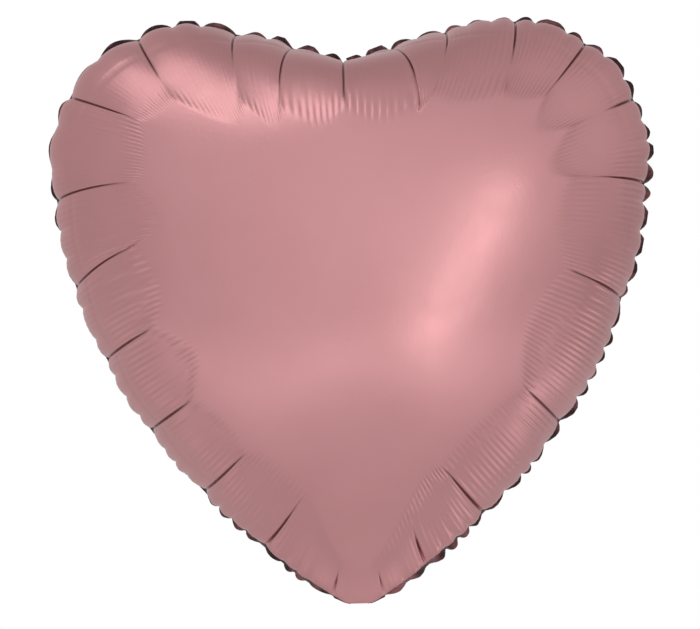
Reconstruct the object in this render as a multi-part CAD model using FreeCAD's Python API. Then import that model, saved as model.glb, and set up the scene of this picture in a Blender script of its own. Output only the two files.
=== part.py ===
# Heart-shaped foil balloon, blown up, with a self-sealing filling neck that is folded up behind the heart.
#
# Frame: millimetres, +Z up, +X to the right seen from the front, and the front faces -Y. The seam lies in the
# XZ plane. The origin is the middle of the neck where it leaves the heart's tip, where a ribbon is tied.
#
# The balloon is two foil sheets welded together round their edge. Gas swells them into two domes, the front
# panel and the back panel, and leaves the weld as a narrow flat border, the seam band. At the tip both sheets
# run on as a flat neck. Two thinner films lie in the neck and reach into the heart: they are the valve, and the
# gas inside presses them flat together. Below a crease the neck is the tail, which folds about that crease.
#
# Foil and film are drawn thicker than the real 0.04 mm and 0.03 mm, so that each sheet is a sound solid.
import FreeCAD, Part
import math
import os

from FreeCAD import Vector

# ---- driving dimensions, in millimetres and degrees ----
FOIL = 0.5                 # drawn thickness of a foil sheet
FILM = 0.15                # drawn thickness of a valve film
PLAY = 0.05                # free space between sheets that lie on each other

# Right half of the seam, from the neck's corner round the lobe to the notch, as (x, z). The left half mirrors it.
NECK_CORNER = (13.0, 4.0)
SIDE = ((50.0, 33.0), (86.0, 67.0), (120.0, 108.0), (147.0, 150.0), (168.0, 197.0))
LOBE = ((184.0, 245.0), (187.0, 283.0), (176.0, 322.0), (150.0, 350.0), (106.0, 364.0), (55.0, 356.0))
NOTCH = (0.0, 337.0)
BAND_WIDTH = 6.0           # the flat welded border outside the seam
BAND_BITE = 0.1            # how far that weld reaches into the edges of the panels

DEPTH = 94.0               # from the seam's plane to the top of either dome
DEEPEST_Z = 205.0          # height of that top
NECK_DEPTH = PLAY + FILM + PLAY + FOIL     # half the neck's thickness: one film and one foil, each with play
SECTIONS = 17              # cross-sections that shape a dome, from neck to notch
SECTION_POINTS = 17        # points across each of them

CREASE_Z = -3.0            # height of the crease
CREASE_GAP = 1.9           # the flat sheets stop this far from the crease, on both sides of it
TAIL_LENGTH = 60.0         # from the crease to the free end
TAIL_CORNER = 6.0          # radius of the free corners
FOLDED = 120.0             # the folded tail is turned this far from hanging straight down
EDGE_WELD = 3.0            # width of the welds down both long edges of the tail
PORT_RADIUS = 4.5          # round hole in the tail's front sheet, for a pump's nozzle
PORT_FROM_END = 12.0

VALVE_WIDTH = 20.0
VALVE_FROM_END = 6.0       # the valve stops this far short of the tail's free end
LIP_ROOT_Z = 5.0           # above this height the two films are free to part
LIP_LENGTH = 62.0

SHEET_END = CREASE_Z + CREASE_GAP          # lower end of everything in the neck above the crease
TAIL_WIDTH = 2 * (NECK_CORNER[0] + EDGE_WELD)
FRONT = -1                                 # which way a panel or a sheet faces, along Y
BACK = 1


# ---- the heart's two domes ----
def seam_half():
    """The right half of the seam, from the neck's corner to the notch, as one smooth curve."""
    curve = Part.BSplineCurve()
    curve.interpolate([Vector(x, 0, z) for x, z in (NECK_CORNER,) + SIDE + LOBE + (NOTCH,)])
    return curve


def seam_point(curve, share, outward=0.0):
    """The point a share of the way along the seam by length, moved outward in the seam's plane."""
    at = curve.parameterAtDistance(share * curve.length(), curve.FirstParameter)
    point, tangent = curve.value(at), curve.tangent(at)[0]
    return point + Vector(tangent.z, 0, -tangent.x) * outward


def superellipse(across, round_power, edge_power):
    """Height of a crown, 1 in the middle and 0 at the ends, at a place from -1 to 1 across it."""
    return max(0.0, 1 - abs(across) ** round_power) ** edge_power


def crown(z):
    """Depth of a dome on the balloon's centre line at a height."""
    if z < DEEPEST_Z:
        shape = superellipse((DEEPEST_Z - z) / (DEEPEST_Z - NECK_CORNER[1]), 2.0, 0.77)
    else:
        shape = superellipse((z - DEEPEST_Z) / (NOTCH[1] - DEEPEST_Z), 2.8, 0.5)
    return NECK_DEPTH + (DEPTH - NECK_DEPTH) * shape


def crown_moved(z, inset):
    """The centre line's height and depth at a height, moved inward square to the dome."""
    slope = (crown(z + 0.01) - crown(z - 0.01)) / 0.02
    stretch = math.hypot(1, slope)
    return z + inset * slope / stretch, crown(z) - inset / stretch


def section(curve, share, facing, inset):
    """Points across a dome, from the left seam to the right, a share of the way from the neck to the notch.

    Above the heart's widest place the section dips in the middle, so that the last one closes on the notch."""
    edge = seam_point(curve, share, -inset)
    rise = NOTCH[1] - NECK_CORNER[1]
    middle_z, depth = crown_moved(NECK_CORNER[1] + rise * math.sin(0.5 * math.pi * share) ** 1.2, inset)
    if share == 0:
        edge = Vector(NECK_CORNER[0] - inset, 0, NECK_CORNER[1])
        middle_z, depth = NECK_CORNER[1], NECK_DEPTH - inset
    if share == 1:
        edge = Vector(0, 0, NOTCH[1] - 2 * inset)
        middle_z, depth = edge.z, 0.0
    boxiness = 2.2 + 8.0 * math.exp(-share / 0.04)
    points = []
    for i in range(SECTION_POINTS):
        across = math.sin(0.5 * math.pi * (2 * i / (SECTION_POINTS - 1) - 1))
        z = middle_z + (edge.z - middle_z) * abs(across) ** 1.5
        points.append(Vector(across * edge.x, facing * depth * superellipse(across, boxiness, 0.5), z))
    return points


def dome_surface(facing, inset):
    """The outside of a dome, or its inside when it is inset by the foil's thickness."""
    curve = seam_half()
    surface = Part.BSplineSurface()
    surface.interpolate([section(curve, i / (SECTIONS - 1), facing, inset) for i in range(SECTIONS)])
    return surface.toShape()


def rim_edges(surface):
    """The neck edge, the left edge and the right edge of a dome's surface."""
    edges = [edge for edge in surface.Edges if not edge.Degenerated]
    edges.sort(key=lambda edge: edge.CenterOfMass.x)
    return edges[1], edges[0], edges[2]


def panel(facing):
    """One sheet of the heart: the dome, and the short piece of neck down to the crease."""
    outside = dome_surface(facing, 0.0)
    inside = dome_surface(facing, FOIL)
    rims = [Part.makeRuledSurface(a, b) for a, b in zip(rim_edges(outside), rim_edges(inside))]
    skin = Part.makeShell([outside, inside] + rims)
    skin.sewShape()
    neck = rims[0].extrude(Vector(0, 0, SHEET_END - NECK_CORNER[1]))
    return Part.Solid(skin).fuse(neck)


# ---- the flat welded border ----
def border_line(curve, outward):
    """A line beside the right half of the seam, from the neck to the notch."""
    steps = 40
    line = Part.BSplineCurve()
    line.interpolate([seam_point(curve, i / steps, outward) for i in range(steps + 1)])
    return line.toShape()


def seam_band():
    """Both sheets fused flat together outside the seam, and down both sides of the neck to the crease."""
    curve = seam_half()
    near, far = border_line(curve, -BAND_BITE), border_line(curve, BAND_WIDTH)
    ends = [Part.makeLine(near.Vertexes[k].Point, far.Vertexes[k].Point) for k in (0, 1)]
    face = Part.Face(Part.Wire(Part.__sortEdges__([near, far] + ends)))
    half = face.extrude(Vector(0, 2 * FOIL, 0)).translated(Vector(0, -FOIL, 0))
    inner_x = NECK_CORNER[0] - BAND_BITE
    size = (EDGE_WELD + BAND_BITE, 2 * FOIL, NECK_CORNER[1] - SHEET_END)
    half = half.fuse(Part.makeBox(*size, Vector(inner_x, -FOIL, SHEET_END)))
    half = half.common(Part.makeBox(500, 10, 500, Vector(0, -5, SHEET_END)))
    return half.fuse(half.mirror(Vector(0, 0, 0), Vector(1, 0, 0))).removeSplitter()


# ---- flat sheets in the neck and the tail ----
def layer(facing, first, thickness):
    """Lowest Y and thickness of a flat layer that begins a distance from the seam's plane."""
    return (first if facing == BACK else -first - thickness), thickness


def film(facing, low_z, high_z):
    """A strip of valve film."""
    low_y, thickness = layer(facing, PLAY, FILM)
    return Part.makeBox(VALVE_WIDTH, thickness, high_z - low_z, Vector(-VALVE_WIDTH / 2, low_y, low_z))


def tail_plate(low_y, thickness, width, high_z, inset):
    """A plate with the tail's outline, or that outline moved in by an amount, hanging straight down."""
    low_z = CREASE_Z - TAIL_LENGTH + inset
    plate = Part.makeBox(width, thickness, high_z - low_z, Vector(-width / 2, low_y, low_z))
    corners = [edge for edge in plate.Edges if edge.BoundBox.ZMax < low_z + 1e-6 and edge.BoundBox.YLength > 1e-6]
    corners = [edge for edge in corners if edge.BoundBox.XLength < 1e-6]
    return plate.makeFillet(TAIL_CORNER - inset, corners)


def port(length):
    """The space of the filling hole through the tail's front sheets."""
    place = Vector(0, -length, CREASE_Z - TAIL_LENGTH + PORT_FROM_END)
    return Part.makeCylinder(PORT_RADIUS, length, place, Vector(0, 1, 0))


def folded(shape):
    """A piece of the hanging tail, turned up behind the heart."""
    return shape.rotated(Vector(0, 0, CREASE_Z), Vector(1, 0, 0), FOLDED)


def tail_foil(facing):
    low_y, thickness = layer(facing, PLAY + FILM + PLAY, FOIL)
    plate = tail_plate(low_y, thickness, TAIL_WIDTH, CREASE_Z - CREASE_GAP, 0.0)
    return plate.cut(port(5.0)) if facing == FRONT else plate


def tail_film(facing):
    strip = film(facing, CREASE_Z - TAIL_LENGTH + VALVE_FROM_END, CREASE_Z - CREASE_GAP)
    return strip.cut(port(5.0)) if facing == FRONT else strip


def tail_edge_weld():
    """The weld between the tail's two sheets: down both long edges and across the free end."""
    half_gap = PLAY + FILM + PLAY
    top = CREASE_Z - CREASE_GAP
    whole = tail_plate(-half_gap, 2 * half_gap, TAIL_WIDTH, top, 0.0)
    middle = tail_plate(-half_gap, 2 * half_gap, TAIL_WIDTH - 2 * EDGE_WELD, top, EDGE_WELD)
    return whole.cut(middle)


def parts():
    lip_top = LIP_ROOT_Z + LIP_LENGTH
    return {
        "front_panel": panel(FRONT),
        "back_panel": panel(BACK),
        "seam_band": seam_band(),
        "neck_valve_front_film": film(FRONT, SHEET_END, LIP_ROOT_Z - PLAY),
        "neck_valve_back_film": film(BACK, SHEET_END, LIP_ROOT_Z - PLAY),
        "valve_front_lip": film(FRONT, LIP_ROOT_Z + PLAY, lip_top),
        "valve_back_lip": film(BACK, LIP_ROOT_Z + PLAY, lip_top),
        "tail_front_foil": folded(tail_foil(FRONT)),
        "tail_back_foil": folded(tail_foil(BACK)),
        "tail_edge_weld": folded(tail_edge_weld()),
        "tail_valve_front_film": folded(tail_film(FRONT)),
        "tail_valve_back_film": folded(tail_film(BACK)),
    }


os.makedirs("parts", exist_ok=True)
for name, shape in parts().items():
    solid = shape.Solids[0]
    print(name, len(shape.Solids), solid.isValid(), round(solid.Volume, 2))
    solid.exportStep("parts/" + name + ".step")
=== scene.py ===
import bpy
import math
import numpy as np
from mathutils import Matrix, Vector
from types import SimpleNamespace


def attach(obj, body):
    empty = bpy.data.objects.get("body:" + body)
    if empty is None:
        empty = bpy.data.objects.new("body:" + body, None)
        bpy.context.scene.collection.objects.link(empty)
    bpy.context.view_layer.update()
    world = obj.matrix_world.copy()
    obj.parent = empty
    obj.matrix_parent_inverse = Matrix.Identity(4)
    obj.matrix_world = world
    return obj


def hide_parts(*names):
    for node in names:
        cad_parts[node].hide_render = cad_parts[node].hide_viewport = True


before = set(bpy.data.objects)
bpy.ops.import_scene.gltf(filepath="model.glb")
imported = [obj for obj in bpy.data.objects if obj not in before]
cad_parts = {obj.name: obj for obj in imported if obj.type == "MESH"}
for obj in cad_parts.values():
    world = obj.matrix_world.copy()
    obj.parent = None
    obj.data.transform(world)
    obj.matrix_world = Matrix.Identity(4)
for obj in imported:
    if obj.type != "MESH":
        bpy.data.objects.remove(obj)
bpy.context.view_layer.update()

# Heart-shaped foil balloon. Metres, +Z up, the front faces -Y, the seam lies in the XZ plane.
MM = 0.001
FRONT, BACK = -1, 1          # which way a panel or a tail foil faces, along Y
FRONT_SEED, BACK_SEED, BORDER_SEED, TAIL_FRONT_SEED, TAIL_BACK_SEED = 11, 12, 5, 21, 22

# ---- sizes of the blown-up heart ----
CENTRE_Z = 205 * MM          # height of the point that the dome's columns run to
DEPTH = 93 * MM              # from the seam's plane to the middle of one panel
CREASE_Z = -3 * MM           # the line where the neck folds, at the lower end of both panels
NECK_HALF = 5 * MM           # half the straight stretch at the tip
BORDER = 7.0 * MM            # width of the welded border
# Right half of the seam, from the neck's corner round the lobe to the notch, as (x, z) in millimetres.
SEAM = (
    (5, -3), (10, -1.8), (16, 2), (25, 8), (36, 16), (53.5, 31), (90.5, 66), (126, 108), (152, 150),
    (172, 197), (182.5, 245), (186, 283), (175, 321), (149, 348), (106, 362), (55, 354), (0, 336))
# The deep creases, clockwise from the notch: outer end (x, z), inner end (x, z), in millimetres, and the
# strength of the fine ripples in the puff that follows.
CREASES = (
    ((-2.5, 336), (-2.5, 300), 2.0), ((28.5, 348), (48, 316), 1.1), ((63, 357), (66, 340), 1.2),
    ((109, 366), (112, 332), 1.3), ((153, 350), (124, 314), 1.0), ((183, 314), (160, 308), 1.1),
    ((184, 259), (150, 268), 1.4), ((163, 188), (123, 205), 1.8), ((127, 111), (91, 142), 2.2),
    ((78, 56), (50, 91), 1.9), ((42, 24), (34, 40), 1.6), ((16, 3), (10.5, 15), 0.8),
    ((-17, 3.5), (-11.5, 16), 0.9), ((-57, 41), (-34, 63), 1.5), ((-94, 74), (-65, 101), 2.1),
    ((-127, 112), (-89, 138), 2.0), ((-152, 157), (-121, 175), 1.7), ((-172, 202), (-123, 224), 1.5),
    ((-186, 257), (-138, 267), 0.9), ((-178, 323), (-131, 304), 0.3), ((-134, 359), (-120, 327), 0.3),
    ((-73, 364), (-82, 338), 0.4), ((-34, 348), (-45, 314), 0.7))
OUT_HEADING, IN_HEADING, IN_PSI, STRENGTH = range(4)     # columns of the crease table

# ---- the panels' mesh and its details ----
COLUMN = 0.67 * MM           # spacing of the mesh's columns along the seam
CROWDING = 0.35              # how much the columns crowd towards the creases
RIM_ROWS, RIM_PSI = 16, 0.24                 # fine rows by the seam, and how far in they reach
DOME_ROWS, DOME_PSI = 36, 1.0                # the rows after them
CAP_STEPS, CAP_THINNING = 16, 4              # steps from there to the centre, with every fourth column
TUCK = 4 * MM                # puffs and pleats start from nothing at the seam and grow over this length
RING_PSI = 0.81              # where the puffs begin, on the same scale as a crease's inner end
# How that place changes round the heart: angle from the tip, spread, change.
EDGE_CHANGES = ((0.0, 0.22, 0.38), (2.25, 0.35, 0.17), (math.pi, 0.45, -0.19))
EDGE_BOW = (0.05, 0.16)      # how far it bows inward across each puff, least and most
SWELL_WIDTH, SWELL = 60 * MM, 0.058          # a puff rises by this share of its width, up to a width
# The ring's inner edge is sunk by up to 0.15 of STEP, in mm, and more at a place right of the tip.
STEP, STEP_AT_TIP = 15, 14
BESIDE_TIP = (math.pi - 0.32, 0.22)          # that place's heading and spread
ZIGZAG, ZIGZAG_STRENGTH = 0.05, 1.4          # the edge's zigzag, full from this ripple strength on
GROOVE, GROOVE_WIDTH = 1.2 * MM, 0.45 * MM   # depth and width of the crease lines
SHADE_WIDTH, SHADE = 0.55 * MM, 0.93         # the painted shade in them, its width and its strength
LINE_IN, LINE_DEPTH, LINE_WIDTH = 31 * MM, 0.5 * MM, 1.3 * MM    # a faint line that follows the seam
PLEAT = 14.0 * MM            # pitch of the pleats at the seam, and of the border's scallops
PLEAT_RISE, PLEAT_REACH = 4.6 * MM, 9 * MM   # their height, and the length over which they fade inward
PLEAT_SWAY = 0.06            # how unevenly they are spaced
RIPPLE = 3.7 * MM            # pitch of the fine ripples
RIPPLE_LOW, RIPPLE_MORE = 0.09, 0.15         # their least height and what luck adds, in mm, at strength 1
LOWER_HALF = (1.3, 1.9)      # angles from the notch over which the ripples get longer and higher
LUCK = 4096                  # how many random numbers pleats and ripples share
UPPER_LEFT = (-0.9, 0.65)    # heading and spread of the stretch with wider pleats and more border
UPPER_RIGHT = (1.25, 0.65)   # and of the one where the ripples stop short
SMOOTH_TIP = (0.035, 0.12)   # angles from the tip over which all these details set in
# Broad dents: how many waves, the spread of their radians per metre, and their height.
DENTS, DENT_WAVE, DENT_SIZE = 6, 26, 0.22 * MM

# ---- the border ----
SHOWN, HIDDEN = 3.6, 0.9     # how far the border stands out of the puffs, and is hidden by them, in mm
WOBBLES = (9.0, 21.0, 47.0)  # how slowly that changes along the seam, in mm per radian of each wave
LOW_BORDER = (100 * MM, 170 * MM)            # it always shows well from this far below the centre down
SLIM_BORDER = (10 * MM, 34 * MM)             # at the tip it widens over these distances from the middle
BORDER_ROWS = 6
BORDER_THICKNESS = 0.25 * MM

# ---- the tail, drawn hanging and then folded up behind the heart ----
TAIL_LENGTH = 60 * MM
TAIL_HALF = 16 * MM
TAIL_CORNER = 6 * MM
SHOULDER, SHOULDER_LENGTH = 8 * MM, 10 * MM  # how much narrower it is at the fold, and over what length
FOLDED = math.radians(120)
EDGE_WELD = 3 * MM
PORT_RADIUS = 4.5 * MM
PORT_DOWN = 48 * MM          # from the fold to the middle of the filling hole
PORT_ROWS, PORT_COLUMNS = (40, 56), (8, 24)  # cells of the foil's grid that make room for it
FOIL_OFF = 0.50 * MM         # from the tail's middle plane to a foil
WELD_OFF = 0.22 * MM         # the same where the foils are welded
TAIL_EASE = 7 * MM           # the foils meet on the fold, and part over this length
CRUMPLES, CRUMPLE = 7, 0.10 * MM             # number of its random creases, and their height
TAIL_GRID = (33, 61)         # points across and down
TAIL_THICKNESS = 0.12 * MM

# ---- light ----
WHITE = (1, 1, 1, 1)
FLOOR_GLOW = 0.38            # painted light: how much the floor glows, at its front
FLOOR_Z, FLOOR_RADIUS = -1.0, 4.4
ROOM = 0.42                  # brightness from all round
# Lobes of more brightness: direction, sharpness, strength.
LOBES = (((0, 1, 0.2), 2, 0.22), ((0, -1, 0.0), 2.0, 0.50), ((-0.2, -0.6, 0.9), 3.0, 0.16),
         ((1, -0.3, 0.5), 3.0, 0.28), ((-1, 0.2, 0.2), 2.0, 0.20))

# ---- camera, in mm where MM is not written ----
LENS, SENSOR = 100, 36
VIEW_WIDTH = 443.8 * MM      # what the picture spans in the seam's plane
CAMERA_X, CAMERA_Z = -2 * MM, 180.243 * MM
CAMERA_ROLL = math.radians(1.3)


# ---- curves ----
def smooth_line(points, steps):
    """A smooth curve through points, as a dense polyline."""
    p = np.vstack([2 * points[0] - points[1], points, 2 * points[-1] - points[-2]])
    t = np.linspace(0, 1, steps, endpoint=False)[:, None]
    spans = []
    for a, b, c, d in zip(p, p[1:], p[2:], p[3:]):
        cubic = (2 * a - 5 * b + 4 * c - d) * t ** 2 + (3 * b - a - 3 * c + d) * t ** 3
        spans.append(0.5 * (2 * b + (c - a) * t + cubic))
    return np.vstack(spans + [points[-1:]])


def smoothstep(x, low, high):
    """0 up to low, 1 from high on, and smooth in between."""
    t = np.clip((x - low) / (high - low), 0, 1)
    return t * t * (3 - 2 * t)


def bell(x, spread):
    """1 at zero, falling off smoothly on both sides of it."""
    return np.exp(-(x / spread) ** 2)


def wrap(angle):
    """The same angle between minus and plus half a turn."""
    return (angle + np.pi) % (2 * np.pi) - np.pi


def heading(x, z):
    """Direction from the heart's centre, 0 at the notch and growing clockwise seen from the front."""
    return np.arctan2(x, z - CENTRE_Z)


def from_notch(angle):
    return np.abs(wrap(angle))


def from_tip(angle):
    return np.pi - from_notch(angle)


def near_heading(angle, middle, spread):
    """1 at a heading, falling off smoothly on both sides of it."""
    return bell(wrap(angle - middle), spread)


# ---- the smooth heart ----
def seam_modes(count=160, samples=1440):
    """The seam's distance from the centre as a function of heading, as Fourier modes."""
    half = smooth_line(np.array(SEAM, float) * MM, 40)
    neck = np.column_stack([np.linspace(0, NECK_HALF, 20, endpoint=False), np.full(20, CREASE_Z)])
    right = np.vstack([neck, half])[::-1]
    angle = heading(right[:, 0], right[:, 1])
    reach = np.hypot(right[:, 0], right[:, 1] - CENTRE_Z)
    around = np.linspace(0, 2 * math.pi, samples, endpoint=False)
    folded = np.minimum(around, 2 * math.pi - around)
    return np.fft.rfft(np.interp(folded, angle, reach)).real[:count] / samples


MODES = seam_modes()


def reach_at(angle, rho):
    """Distance from the centre. The heart's outline softens to a circle towards the centre."""
    total = np.full(np.broadcast(angle, rho).shape, MODES[0])
    for n in range(1, len(MODES)):
        total = total + 2 * MODES[n] * np.cos(n * angle) * rho ** n
    return total


def base_point(angle, psi):
    """A point of the smooth front dome. psi is 0 at the centre and a quarter turn at the seam."""
    rho = np.sin(psi)
    reach = rho * reach_at(angle, rho)
    thin_tip = 0.86 * bell(from_tip(angle), 0.45)
    full_notch = 0.2 * bell(np.pi - from_tip(angle), 0.4)
    power = 1.04 + smoothstep(rho, 0.0, 0.6) * (thin_tip - full_notch)
    depth = DEPTH * np.maximum(np.cos(psi), 0) ** power
    return np.stack([reach * np.sin(angle), -depth, CENTRE_Z + reach * np.cos(angle)], axis=-1)


def dome_normals(angle, psi, base):
    """Unit normals of the smooth front dome, pointing outward."""
    step = 1e-4
    across = base_point(angle + step, psi) - base_point(angle - step, psi)
    along = base_point(angle, np.minimum(psi + step, np.pi / 2)) - base_point(angle, psi - step)
    normal = np.cross(across, along)
    normal /= np.linalg.norm(normal, axis=-1, keepdims=True)
    outward = base - np.array([0, 0, CENTRE_Z])
    return normal * np.sign((normal * outward).sum(-1, keepdims=True))


# ---- creases and puffs ----
def crease_table(rng, jitter):
    """Headings of the outer and inner ends, psi of the inner ends and ripple strengths, in order."""
    rows = []
    for (x0, z0), (x1, z1), strength in CREASES:
        outer, inner = float(heading(x0 * MM, z0 * MM)), float(heading(x1 * MM, z1 * MM))
        radius = math.hypot(x1 * MM, z1 * MM - CENTRE_Z)
        rho = 0.7
        for _ in range(12):
            rho = min(0.97, radius / float(reach_at(np.array(inner), np.array(rho))))
        rows.append((outer, outer + wrap(inner - outer), math.asin(rho), strength))
    rows.sort()
    table = np.array(rows)
    table[:, IN_HEADING] += jitter * rng.uniform(-0.05, 0.05, len(table))
    table[:, IN_PSI] += jitter * rng.uniform(-0.10, 0.10, len(table))
    return table


def seam_length(start, gap):
    """Length of the seam from one heading over a gap."""
    arc = base_point(start + gap * np.linspace(0, 1, 40), np.full(40, np.pi / 2))
    return np.linalg.norm(np.diff(arc, axis=0), axis=1).sum()


def ring_columns(table):
    """The mesh's columns round the seam: each one's puff, its place across it and its headings."""
    frac, puff, width = [], [], []
    for k, gap in enumerate(np.roll(table[:, OUT_HEADING], -1) - table[:, OUT_HEADING]):
        length = seam_length(table[k, OUT_HEADING], gap % (2 * math.pi))
        n = 4 * max(3, round(length / COLUMN / 4))
        t = np.arange(n) / n
        frac.append(t - CROWDING * np.sin(2 * np.pi * t) / (2 * np.pi))
        puff.append(np.full(n, k))
        width.append(np.full(n, length))
    ring = SimpleNamespace(frac=np.concatenate(frac), puff=np.concatenate(puff), width=np.concatenate(width))
    here, after = table[ring.puff], table[(ring.puff + 1) % len(table)]
    ring.outer = here[:, OUT_HEADING] + (after - here)[:, OUT_HEADING] % (2 * math.pi) * ring.frac
    ring.inner = here[:, IN_HEADING] + wrap((after - here)[:, IN_HEADING]) * ring.frac
    ring.crease_psi = here[:, IN_PSI] * (1 - ring.frac) + after[:, IN_PSI] * ring.frac
    ring.strength = here[:, STRENGTH]
    ring.tip_off = from_tip(ring.outer)
    ring.near = np.minimum(ring.frac, 1 - ring.frac) * ring.width       # distance from the nearest crease
    ring.ripples = np.maximum(2, np.round(ring.width / RIPPLE))
    return ring


def inner_edge(ring, bow):
    """psi where the puffs begin, column by column: further out at the tip, further in at the notch."""
    psi_in = RING_PSI
    for middle, spread, change in EDGE_CHANGES:
        psi_in = psi_in + change * bell(ring.tip_off - middle, spread)
    return psi_in - bow[ring.puff] * np.sin(np.pi * ring.frac) ** 0.8 * smoothstep(ring.tip_off, 0.1, 0.7)


def lay_grid(ring, psi_in):
    """The smooth dome's points under the mesh. v runs from 0 at the puffs' inner edge to 1 at the seam."""
    rim = np.linspace(0, RIM_PSI, RIM_ROWS, endpoint=False)
    psi = np.pi / 2 - np.concatenate([rim, np.linspace(RIM_PSI, DOME_PSI, DOME_ROWS)])
    grid = SimpleNamespace()
    grid.v = np.clip((psi[:, None] - psi_in) / (np.pi / 2 - psi_in), 0, 1)
    grid.v_crease = np.clip((ring.crease_psi - psi_in) / (np.pi / 2 - psi_in), 0, 0.9)
    rho, rho_in = np.sin(psi)[:, None], np.sin(psi_in)
    angle = ring.inner + (ring.outer - ring.inner) * np.clip((rho - rho_in) / (1 - rho_in), 0, 1)
    grid.psi = np.broadcast_to(psi[:, None], angle.shape)
    grid.base = base_point(angle, grid.psi)
    grid.normal = dome_normals(angle, grid.psi, grid.base)
    hop = np.linalg.norm(np.diff(grid.base, axis=0), axis=-1)
    grid.inwards = np.vstack([np.zeros(angle.shape[1]), np.cumsum(hop, axis=0)])     # from the seam
    grid.tuck = 1 - np.exp(-grid.inwards / TUCK)
    return grid


def puff_swell(ring, grid):
    """How far a puff rises between its two creases."""
    arch = 4 * ring.frac * (1 - ring.frac)
    swell = (np.minimum(ring.width, SWELL_WIDTH) * SWELL) * arch ** 0.85
    beyond = smoothstep(grid.v, 0.6 * grid.v_crease, 1.0)
    return (swell * (0.25 * grid.v + 0.75 * beyond ** 0.8)) * grid.tuck


def ring_step(ring, grid):
    """How far the ring's inner edge is sunk into the dome, in a zigzag where the ripples end."""
    zigzag = np.abs(2 * ((ring.frac * ring.ripples) % 1) - 1)
    past = np.maximum(grid.v - ZIGZAG * np.minimum(ring.strength / ZIGZAG_STRENGTH, 1) * zigzag, 0)
    depth = STEP + STEP_AT_TIP * near_heading(ring.outer, *BESIDE_TIP)
    return depth * MM * past * (1 - past) ** 2


def crease_groove(ring, grid):
    """Depth of the sharp lines in the deep creases."""
    length = smoothstep(grid.v, grid.v_crease, grid.v_crease + 0.2)
    length = length * (1 - np.exp(-grid.inwards / (3 * MM)))
    return GROOVE * np.exp(-ring.near / GROOVE_WIDTH) * length


def painted_crease_shade(ring, grid):
    """Painted shade in the creases, from 0 to 1 for each point, for the material: it darkens the colour
    where a fold's own shadow falls.
    """
    fold = bell(ring.near, SHADE_WIDTH) * smoothstep(grid.v, grid.v_crease - 0.10, grid.v_crease + 0.16)
    return fold * smoothstep(grid.v, 0.0, 0.08) * smoothstep(grid.inwards, 3 * MM, 14 * MM)


def outline_line(ring, grid):
    """Depth of the faint line that follows the outline a little way in."""
    line = bell(grid.inwards - LINE_IN, LINE_WIDTH) * smoothstep(ring.tip_off, 0.35, 0.7)
    return LINE_DEPTH * line * smoothstep(ring.near, 1 * MM, 4 * MM)


def pleat_phase(ring, uneven):
    """Pleats counted along each puff, unevenly spaced."""
    first = np.searchsorted(ring.puff, ring.puff)        # the first column of the same puff
    wider = 1 + 0.7 * near_heading(ring.outer, *UPPER_LEFT)[first]
    pleats = np.maximum(1, np.round(ring.width / (PLEAT * wider)))
    sway = uneven[ring.puff]
    turn = 2 * np.pi * ring.frac
    return pleats * (ring.frac + sway[:, 0] * np.sin(turn) + 0.5 * sway[:, 1] * np.sin(2 * turn))


def seam_pleats(ring, grid, phase, luck):
    """Height of the pleats at the seam."""
    rise = PLEAT_RISE * (0.7 + 0.6 * luck)[(ring.puff * 16 + phase.astype(int)) % LUCK]
    return rise * np.abs(np.sin(np.pi * phase)) ** 0.8 * np.exp(-grid.inwards / PLEAT_REACH) * grid.tuck


def fine_ripples(ring, grid, start_luck, size_luck):
    """Height of the fine ripples, with uneven inner ends."""
    index = (ring.puff * 32 + (ring.frac * ring.ripples).astype(int)) % LUCK
    start = (0.01 + 0.10 * start_luck)[index] + 0.36 * near_heading(ring.outer, *UPPER_RIGHT)
    size = (RIPPLE_LOW + RIPPLE_MORE * size_luck)[index] * MM * ring.strength
    shape = np.sin(np.pi * ring.ripples * ring.frac) ** 2
    lower = smoothstep(np.pi - ring.tip_off, *LOWER_HALF)
    fade = smoothstep(grid.v, start + 0.12 + 0.15 * lower, start + 0.45 + 0.25 * lower)
    return (1 + 0.35 * lower) * size * shape * smoothstep(grid.v, start, start + 0.05) * (1 - fade)


def broad_dents(points, seed):
    """Low, wide unevenness of a panel, in metres."""
    rng = np.random.default_rng(seed + 100)
    dent = 0.0
    for _ in range(DENTS):
        across, up = rng.normal(0, DENT_WAVE, 2)
        dent = dent + np.sin(across * points[..., 0] + up * points[..., 2] + rng.uniform(0, 6.28))
    return DENT_SIZE * dent


def panel_mesh(facing, seed):
    """One panel: its points in rows from the seam inward, the columns' scallops and headings, and the
    painted shade of its creases.
    """
    rng = np.random.default_rng(seed)
    table = crease_table(rng, 0.0 if facing == FRONT else 1.0)
    bow = rng.uniform(*EDGE_BOW, len(table))
    uneven = rng.uniform(-PLEAT_SWAY, PLEAT_SWAY, (len(table), 2))
    pleat_luck, start_luck, size_luck = rng.random((3, LUCK))
    ring = ring_columns(table)
    grid = lay_grid(ring, inner_edge(ring, bow))
    phase = pleat_phase(ring, uneven)
    shift = puff_swell(ring, grid)
    shift -= ring_step(ring, grid)
    shift -= crease_groove(ring, grid)
    shift -= outline_line(ring, grid)
    shift += seam_pleats(ring, grid, phase, pleat_luck)
    shift += fine_ripples(ring, grid, start_luck, size_luck)
    # the panel lies smooth where the tail folds up against it
    shift *= 0.12 + 0.88 * smoothstep(ring.tip_off, *SMOOTH_TIP)
    points = grid.base + grid.normal * shift[..., None]
    points[..., 1] -= broad_dents(points, seed) * smoothstep(np.cos(grid.psi), 0.05, 0.5)
    points[..., 1] *= -facing
    points[0, :, 1] = 0
    return points, np.abs(np.sin(np.pi * phase)), ring.outer, painted_crease_shade(ring, grid)


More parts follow.
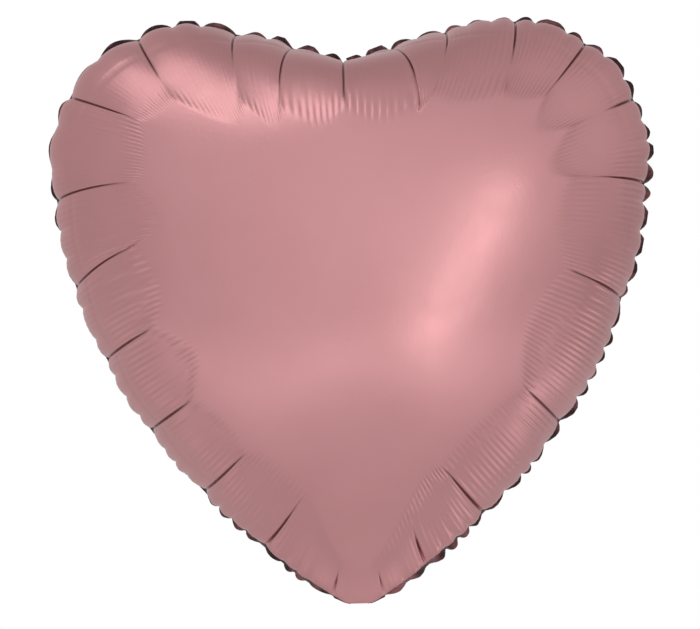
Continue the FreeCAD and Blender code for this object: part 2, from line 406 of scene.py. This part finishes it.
def cap_rings(points, facing, seed):
    """Rings of points from the grid's last row to the centre."""
    last = points[-1]
    rho_last = math.sin(np.pi / 2 - DOME_PSI)
    angle = np.unwrap(heading(last[:, 0], last[:, 2]))[::CAP_THINNING]
    rings = []
    for share in np.linspace(1, 0, CAP_STEPS)[1:-1]:
        ring = base_point(angle, np.full(len(angle), math.asin(rho_last * share)))
        ring[:, 1] = -facing * (ring[:, 1] - broad_dents(ring, seed))
        rings.append(ring)
    return rings


# ---- meshes ----
def add_piece(name, verts, faces, thickness=None):
    """A smooth-shaded mesh object, given a thickness about its middle if it's a bare sheet."""
    mesh = bpy.data.meshes.new(name)
    mesh.from_pydata(verts.tolist(), [], faces)
    mesh.polygons.foreach_set("use_smooth", [True] * len(mesh.polygons))
    mesh.update()
    piece = bpy.data.objects.new(name, mesh)
    bpy.context.scene.collection.objects.link(piece)
    if thickness is not None:
        thick = piece.modifiers.new("thickness", "SOLIDIFY")
        thick.thickness = thickness
        thick.offset = 0
    return piece


def stitch(coarse, new):
    """Faces between a closed ring of vertices and the next one, which has as many or fewer."""
    ratio = len(coarse) // len(new)
    middle = ratio // 2
    faces = []
    for i, here in enumerate(new):
        after = new[(i + 1) % len(new)]
        run = [coarse[(i * ratio + k) % len(coarse)] for k in range(ratio + 1)]
        if ratio == 1:
            faces.append([run[0], run[1], after, here])
            continue
        faces += [[run[k], run[k + 1], here] for k in range(middle)]
        faces.append([run[middle], after, here])
        faces += [[run[k], run[k + 1], after] for k in range(middle, ratio)]
    return faces


def panel_object(name, facing, seed, points, fold):
    """The mesh of one panel: a grid round the seam, thinned out inside and closed at the centre."""
    rows, columns = points.shape[:2]
    index = np.arange(rows * columns).reshape(rows, columns)
    beside = np.roll(index, -1, axis=1)
    faces = np.stack([index[:-1], beside[:-1], beside[1:], index[1:]], axis=-1).reshape(-1, 4).tolist()
    parts = [points.reshape(-1, 3)] + cap_rings(points, facing, seed)
    parts.append(np.mean(parts[-1], axis=0, keepdims=True))
    coarse = index[-1].tolist()
    total = rows * columns
    for ring in parts[1:-1]:
        new = list(range(total, total + len(ring)))
        faces += stitch(coarse, new)
        total += len(ring)
        coarse = new
    faces += [[here, after, total] for here, after in zip(coarse, coarse[1:] + coarse[:1])]
    if facing == FRONT:
        faces = [face[::-1] for face in faces]
    piece = add_piece(name, np.vstack(parts), faces)
    # painted shade of the creases, kept on the mesh as the point attribute fold for the material's colour
    shade = np.zeros(len(piece.data.vertices), np.float32)
    shade[:fold.size] = fold.ravel()
    piece.data.attributes.new("fold", "FLOAT", "POINT").data.foreach_set("value", shade)
    return piece


# ---- the border ----
def away_from_heart(seam):
    """Unit directions out of the heart, square to the seam and in its plane."""
    tangent = np.roll(seam, -1, 0) - np.roll(seam, 1, 0)
    tangent /= np.linalg.norm(tangent, axis=1, keepdims=True)
    out = np.column_stack([tangent[:, 2], np.zeros(len(seam)), -tangent[:, 0]])
    return out * np.sign((out * (seam - [0, 0, CENTRE_Z])).sum(1))[:, None]


def border_reach(points, scallop, angle, seed):
    """How far the border stands out of the seam, as seen from the front: it shows more in some places."""
    seam = points[0]
    radius = np.hypot(points[..., 0], points[..., 2] - CENTRE_Z)
    bulge = radius[:RIM_ROWS].max(0) - radius[0]         # how far the puffs stick out past the seam
    arc = np.cumsum(np.linalg.norm(seam - np.roll(seam, 1, 0), axis=1))
    starts = np.random.default_rng(seed).uniform(0, 6.28, len(WOBBLES))
    wobble = sum(np.sin(arc / MM / w + start) for w, start in zip(WOBBLES, starts)) / len(WOBBLES)
    low = smoothstep(CENTRE_Z - seam[:, 2], *LOW_BORDER)
    shown = 0.70 + 0.55 * np.sin(angle) + 0.6 * bell(from_notch(angle), 0.55)
    shown = shown + 0.9 * near_heading(angle, *UPPER_LEFT)
    shown = np.maximum(shown, 1.1 * low) * (1 + 0.5 * wobble)
    return bulge + MM * (SHOWN * shown * scallop ** 0.6 - HIDDEN)


def border_object(name, points, scallop, angle, seed):
    """The flat weld outside the seam. The seam has drawn in, so the weld leans back in scallops."""
    seam = points[0]
    out = away_from_heart(seam)
    size = BORDER * (0.05 + 0.95 * smoothstep(np.abs(seam[:, 0]), *SLIM_BORDER))
    size = np.where(seam[:, 2] > CENTRE_Z, BORDER, size)
    reach = np.clip(border_reach(points, scallop, angle, seed), 0.15 * size, 0.97 * size)
    lean = np.arccos(reach / size)
    rows = []
    for w in np.linspace(0, 1, BORDER_ROWS):
        tilt = lean * (1.25 - 0.4 * w)
        back = np.outer(size * w * np.sin(tilt), [0, 1, 0])
        rows.append(seam + out * (size * w * np.cos(tilt))[:, None] + back)
    keep = ~((np.abs(seam[:, 0]) < NECK_HALF) & (seam[:, 2] < 5 * MM))       # none where the tail begins
    start = int(np.where(keep & ~np.roll(keep, 1))[0][0])
    order = [i % len(seam) for i in range(start, start + len(seam)) if keep[i % len(seam)]]
    index = np.arange(len(rows) * len(order)).reshape(len(rows), -1)
    faces = np.stack([index[:-1, :-1], index[:-1, 1:], index[1:, 1:], index[1:, :-1]], -1).reshape(-1, 4)
    verts = np.array(rows)[:, order].reshape(-1, 3)
    return add_piece(name, verts, faces.tolist(), BORDER_THICKNESS)


# ---- the tail ----
def tail_half_width(down):
    """Half the tail's width: narrow at the fold, with round corners at the free end."""
    into_corner = np.maximum(down - TAIL_LENGTH + TAIL_CORNER, 0)
    rounding = np.sqrt(np.maximum(TAIL_CORNER ** 2 - into_corner ** 2, 0))
    shoulder = SHOULDER * (1 - smoothstep(down, 0, SHOULDER_LENGTH))
    return TAIL_HALF - TAIL_CORNER + rounding - shoulder


def tail_surface(across, down, facing, seed):
    """A point of one hanging tail foil: across runs from -1 to 1, down from the fold."""
    rng = np.random.default_rng(seed)
    half = tail_half_width(down)
    x = across * half
    edge = np.minimum(half - np.abs(x), TAIL_LENGTH - down)
    loose = smoothstep(edge, EDGE_WELD * 0.8, EDGE_WELD * 1.6)
    off = WELD_OFF + (FOIL_OFF - WELD_OFF) * loose
    crumple = 0.0
    for _ in range(CRUMPLES):
        turn = rng.uniform(0, math.pi)
        wave = rng.uniform(0.5, 1.5) / (5 * MM)
        line = x * math.cos(turn) + down * math.sin(turn)
        crumple = crumple + np.abs(np.sin(line * wave + rng.uniform(0, 6))) * rng.uniform(0.3, 1)
    off = off + CRUMPLE * crumple * loose
    off = off * smoothstep(down, 0, TAIL_EASE)
    return np.stack([x, facing * off, CREASE_Z - down], -1)


def fold_up(points):
    """The hanging tail's points turned about the crease."""
    y, z = points[..., 1], points[..., 2] - CREASE_Z
    return np.stack([points[..., 0], y * math.cos(FOLDED) - z * math.sin(FOLDED),
                     CREASE_Z + y * math.sin(FOLDED) + z * math.cos(FOLDED)], -1)


def port_rings(loop, ring, total, facing, seed):
    """Points and faces from a square loop of the grid, given flat and as vertices, to the round hole."""
    angle = np.arctan2(loop[:, 1] - PORT_DOWN, loop[:, 0])
    circle = np.column_stack([PORT_RADIUS * np.cos(angle), PORT_DOWN + PORT_RADIUS * np.sin(angle)])
    verts, faces = [], []
    for share in (0.3, 0.6, 0.85, 1.0):
        flat = loop + (circle - loop) * share
        verts.append(tail_surface(flat[:, 0] / tail_half_width(flat[:, 1]), flat[:, 1], facing, seed))
        new = list(range(total, total + len(ring)))
        for i in range(len(ring)):
            j = (i + 1) % len(ring)
            faces.append([ring[i], ring[j], new[j], new[i]])
        ring = new
        total += len(ring)
    return verts, faces


def tail_foil(name, facing, seed, with_port):
    """One foil of the tail, folded up, with the filling hole or without."""
    across = np.linspace(-1, 1, TAIL_GRID[0])
    down = np.linspace(0, TAIL_LENGTH, TAIL_GRID[1])
    verts = [tail_surface(*np.meshgrid(across, down), facing, seed).reshape(-1, 3)]
    index = np.arange(len(verts[0])).reshape(len(down), len(across))
    (r0, r1), (c0, c1) = PORT_ROWS, PORT_COLUMNS
    cells = [(r, c) for r in range(len(down) - 1) for c in range(len(across) - 1)]
    if with_port:
        cells = [(r, c) for r, c in cells if not (r0 <= r < r1 and c0 <= c < c1)]
    faces = [[index[r, c], index[r, c + 1], index[r + 1, c + 1], index[r + 1, c]] for r, c in cells]
    if with_port:
        loop = [(r0, c) for c in range(c0, c1)] + [(r, c1) for r in range(r0, r1)]
        loop += [(r1, c) for c in range(c1, c0, -1)] + [(r, c0) for r in range(r1, r0, -1)]
        flat = np.array([(across[c] * TAIL_HALF, down[r]) for r, c in loop])
        more = port_rings(flat, [index[r, c] for r, c in loop], index.size, facing, seed)
        verts += more[0]
        faces += more[1]
    faces = [[int(v) for v in face] for face in faces]
    if facing == BACK:
        faces = [face[::-1] for face in faces]
    return add_piece(name, fold_up(np.vstack(verts)), faces, TAIL_THICKNESS)


# ---- materials ----
def set_inputs(node, values):
    for name, value in values.items():
        node.inputs[name].default_value = value


def start_material(name, metallic, rough):
    mat = bpy.data.materials.new(name)
    mat.use_nodes = True
    shader = mat.node_tree.nodes["Principled BSDF"]
    set_inputs(shader, {"Metallic": metallic, "Roughness": rough})
    return mat, mat.node_tree.nodes, mat.node_tree.links, shader


def noise(nodes, links, scale, detail, low, high):
    """Noise in object space, spread over low to high."""
    place = nodes.new("ShaderNodeTexCoord")
    texture = nodes.new("ShaderNodeTexNoise")
    set_inputs(texture, {"Scale": scale, "Detail": detail})
    links.new(place.outputs["Object"], texture.inputs["Vector"])
    spread = nodes.new("ShaderNodeMapRange")
    set_inputs(spread, {"From Min": 0.3, "From Max": 0.7, "To Min": low, "To Max": high})
    links.new(texture.outputs["Fac"], spread.inputs["Value"])
    return spread.outputs["Result"]


def mix_colours(nodes, links, share, first, second):
    """A blend of two colours, each a tuple or a socket."""
    mix = nodes.new("ShaderNodeMix")
    mix.data_type = "RGBA"
    links.new(share, mix.inputs["Factor"])
    for socket, value in ((mix.inputs[6], first), (mix.inputs[7], second)):
        if isinstance(value, tuple):
            socket.default_value = (*value, 1)
        else:
            links.new(value, socket)
    return mix.outputs[2]


def math_node(nodes, links, kind, first, second):
    """The result of a math node for two values, each a number or a socket."""
    node = nodes.new("ShaderNodeMath")
    node.operation = kind
    for socket, value in zip(node.inputs, (first, second)):
        if isinstance(value, (int, float)):
            socket.default_value = value
        else:
            links.new(value, socket)
    return node.outputs[0]


def add_bump(nodes, links, shader, height, distance):
    bump = nodes.new("ShaderNodeBump")
    set_inputs(bump, {"Distance": distance, "Strength": 1.0})
    links.new(height, bump.inputs["Height"])
    links.new(bump.outputs["Normal"], shader.inputs["Normal"])


def foil_material():
    """Satin rose film over a metal layer: slightly uneven in tone and gloss, with painted shade along its
    creases.
    """
    mat, nodes, links, shader = start_material("rose_foil", 1.0, 0.30)
    tone = noise(nodes, links, 14, 3, 0.0, 1.0)
    colour = mix_colours(nodes, links, tone, (0.60, 0.285, 0.296), (0.64, 0.312, 0.324))
    # painted shade: by the fold attribute the colour goes almost black along the creases
    fold = nodes.new("ShaderNodeAttribute")
    fold.attribute_name = "fold"
    deep = math_node(nodes, links, "MULTIPLY", fold.outputs["Fac"], SHADE)
    colour = mix_colours(nodes, links, deep, colour, (0.035, 0.006, 0.008))
    links.new(colour, shader.inputs["Base Color"])
    links.new(noise(nodes, links, 45, 4, 0.27, 0.34), shader.inputs["Roughness"])
    add_bump(nodes, links, shader, noise(nodes, links, 420, 3, 0.0, 1.0), 0.02 * MM)
    return mat


def edge_material():
    """The welded border, the same film pressed flat: its colour is made much darker as painted shade for the
    dark it reflects, with paler mottling as painted reflection.
    """
    mat, nodes, links, shader = start_material("rose_foil_edge", 0.4, 0.32)
    set_inputs(shader, {"Specular IOR Level": 0.3})
    # painted shade and painted reflection: near-black colour with paler mottling standing in for light
    # caught by the weld's wrinkles
    painted_reflection_patches = noise(nodes, links, 70, 4, -0.7, 1.1)
    colour = mix_colours(nodes, links, painted_reflection_patches, (0.030, 0.005, 0.007), (0.24, 0.085, 0.095))
    links.new(colour, shader.inputs["Base Color"])
    add_bump(nodes, links, shader, noise(nodes, links, 300, 3, 0.0, 1.0), 0.08 * MM)
    return mat


def film_material():
    """The valve's clear plastic film, slightly milky and creased."""
    mat, nodes, links, shader = start_material("valve_film", 0.0, 0.22)
    set_inputs(shader, {"Transmission Weight": 0.55, "IOR": 1.45})
    milk = noise(nodes, links, 90, 3, 0.0, 1.0)
    colour = mix_colours(nodes, links, milk, (0.80, 0.82, 0.84), (0.92, 0.93, 0.94))
    links.new(colour, shader.inputs["Base Color"])
    links.new(noise(nodes, links, 150, 2, 0.16, 0.30), shader.inputs["Roughness"])
    add_bump(nodes, links, shader, noise(nodes, links, 260, 3, 0.0, 1.0), 0.05 * MM)
    return mat


def paper_material():
    """The floor's matt paper, with painted light: it glows a little, more towards the front."""
    mat, nodes, links, shader = start_material("floor_paper", 0.0, 0.9)
    grain = noise(nodes, links, 30, 4, 0.0, 1.0)
    colour = mix_colours(nodes, links, grain, (0.88, 0.88, 0.88), (0.92, 0.92, 0.92))
    links.new(colour, shader.inputs["Base Color"])
    place = nodes.new("ShaderNodeTexCoord")
    split = nodes.new("ShaderNodeSeparateXYZ")
    links.new(place.outputs["Object"], split.inputs[0])
    # painted light: emission that rises towards the front of the floor
    painted_glow = nodes.new("ShaderNodeMapRange")
    set_inputs(painted_glow, {"From Min": -0.1, "From Max": -1.7, "To Min": 0.0, "To Max": FLOOR_GLOW})
    links.new(split.outputs["Y"], painted_glow.inputs["Value"])
    set_inputs(shader, {"Emission Color": WHITE})
    links.new(painted_glow.outputs["Result"], shader.inputs["Emission Strength"])
    return mat


# ---- studio ----
def backdrop():
    bpy.ops.mesh.primitive_circle_add(vertices=128, radius=FLOOR_RADIUS, fill_type="NGON",
                                      location=(0, 0, FLOOR_Z))
    floor = bpy.context.object
    floor.name = "floor"
    floor.data.materials.append(paper_material())


def softbox(name, place, target, size, power, tilt=0.0):
    """A rectangular lamp that faces a target and is turned about its own axis by tilt degrees."""
    data = bpy.data.lights.new(name, "AREA")
    data.shape = "RECTANGLE"
    data.size, data.size_y = size
    data.energy = power
    lamp = bpy.data.objects.new(name, data)
    bpy.context.scene.collection.objects.link(lamp)
    lamp.location = place
    lamp.rotation_euler = (Vector(target) - Vector(place)).to_track_quat("-Z", "Y").to_euler()
    lamp.rotation_euler.rotate_axis("Z", math.radians(tilt))


def studio_light():
    """Soft light from all round, as lobes of brightness about a few directions. The camera sees white."""
    world = bpy.data.worlds.new("studio")
    bpy.context.scene.world = world
    world.use_nodes = True
    nodes, links = world.node_tree.nodes, world.node_tree.links
    direction = nodes.new("ShaderNodeTexCoord").outputs["Generated"]
    total = ROOM
    for axis, sharpness, strength in LOBES:
        dot = nodes.new("ShaderNodeVectorMath")
        dot.operation = "DOT_PRODUCT"
        links.new(direction, dot.inputs[0])
        dot.inputs[1].default_value = tuple(np.array(axis) / np.linalg.norm(axis))
        facing = math_node(nodes, links, "MAXIMUM", dot.outputs["Value"], 0.0)
        lobe = math_node(nodes, links, "POWER", facing, sharpness)
        lobe = math_node(nodes, links, "MULTIPLY", lobe, strength)
        total = math_node(nodes, links, "ADD", lobe, total)
    room = nodes["Background"]
    links.new(total, room.inputs["Strength"])
    set_inputs(room, {"Color": WHITE})
    seen = nodes.new("ShaderNodeBackground")
    set_inputs(seen, {"Color": WHITE, "Strength": 1.0})
    mix = nodes.new("ShaderNodeMixShader")
    links.new(nodes.new("ShaderNodeLightPath").outputs["Is Camera Ray"], mix.inputs[0])
    links.new(room.outputs[0], mix.inputs[1])
    links.new(seen.outputs[0], mix.inputs[2])
    links.new(mix.outputs[0], nodes["World Output"].inputs["Surface"])


def place_camera():
    data = bpy.data.cameras.new("camera")
    data.lens = LENS
    data.sensor_width = SENSOR
    camera = bpy.data.objects.new("camera", data)
    bpy.context.scene.collection.objects.link(camera)
    bpy.context.scene.camera = camera
    camera.location = (CAMERA_X, -VIEW_WIDTH * LENS / SENSOR, CAMERA_Z)
    camera.rotation_euler = (math.radians(90), CAMERA_ROLL, 0)


# ---- the balloon ----
# each panel comes with the painted shade of its creases
front_points, scallop, seam_heading, front_painted_shade = panel_mesh(FRONT, FRONT_SEED)
back_points, _, _, back_painted_shade = panel_mesh(BACK, BACK_SEED)
front = panel_object("foil_front", FRONT, FRONT_SEED, front_points, front_painted_shade)
back = panel_object("foil_back", BACK, BACK_SEED, back_points, back_painted_shade)
border = border_object("foil_border", front_points, scallop, seam_heading, BORDER_SEED)
tail_front = tail_foil("tail_foil_front", FRONT, TAIL_FRONT_SEED, with_port=True)
tail_back = tail_foil("tail_foil_back", BACK, TAIL_BACK_SEED, with_port=False)

rose = foil_material()
for piece in (front, back, tail_front, tail_back):
    piece.data.materials.append(rose)
border.data.materials.append(edge_material())
film = film_material()
for node in ("neck_valve_front_film", "neck_valve_back_film", "valve_front_lip", "valve_back_lip",
             "tail_valve_front_film", "tail_valve_back_film"):
    solid = bpy.data.objects[node]
    solid.data.materials.clear()
    solid.data.materials.append(film)

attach(tail_front, "tail")
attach(tail_back, "tail")
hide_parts("tail_front_foil", "tail_edge_weld")
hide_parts("tail_back_foil")
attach(front, "envelope")
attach(back, "envelope")
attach(border, "envelope")
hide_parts("front_panel")
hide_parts("back_panel")
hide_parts("seam_band")

backdrop()
studio_light()
softbox("streak", (1.2, -2.3, 0.18), (0, 0, 0.2), (0.36, 2.4), 4.4, tilt=-28)
softbox("top", (-0.9, -0.9, 1.9), (0, 0, 0.2), (1.5, 0.8), 3.7)
softbox("low_right", (1.0, 0.15, -0.62), (0, 0, 0.12), (0.30, 0.6), 0.30)
softbox("low_left", (-1.0, 0.15, -0.62), (0, 0, 0.12), (0.30, 0.6), 0.10)
bpy.context.scene.view_settings.view_transform = "Standard"
place_camera()
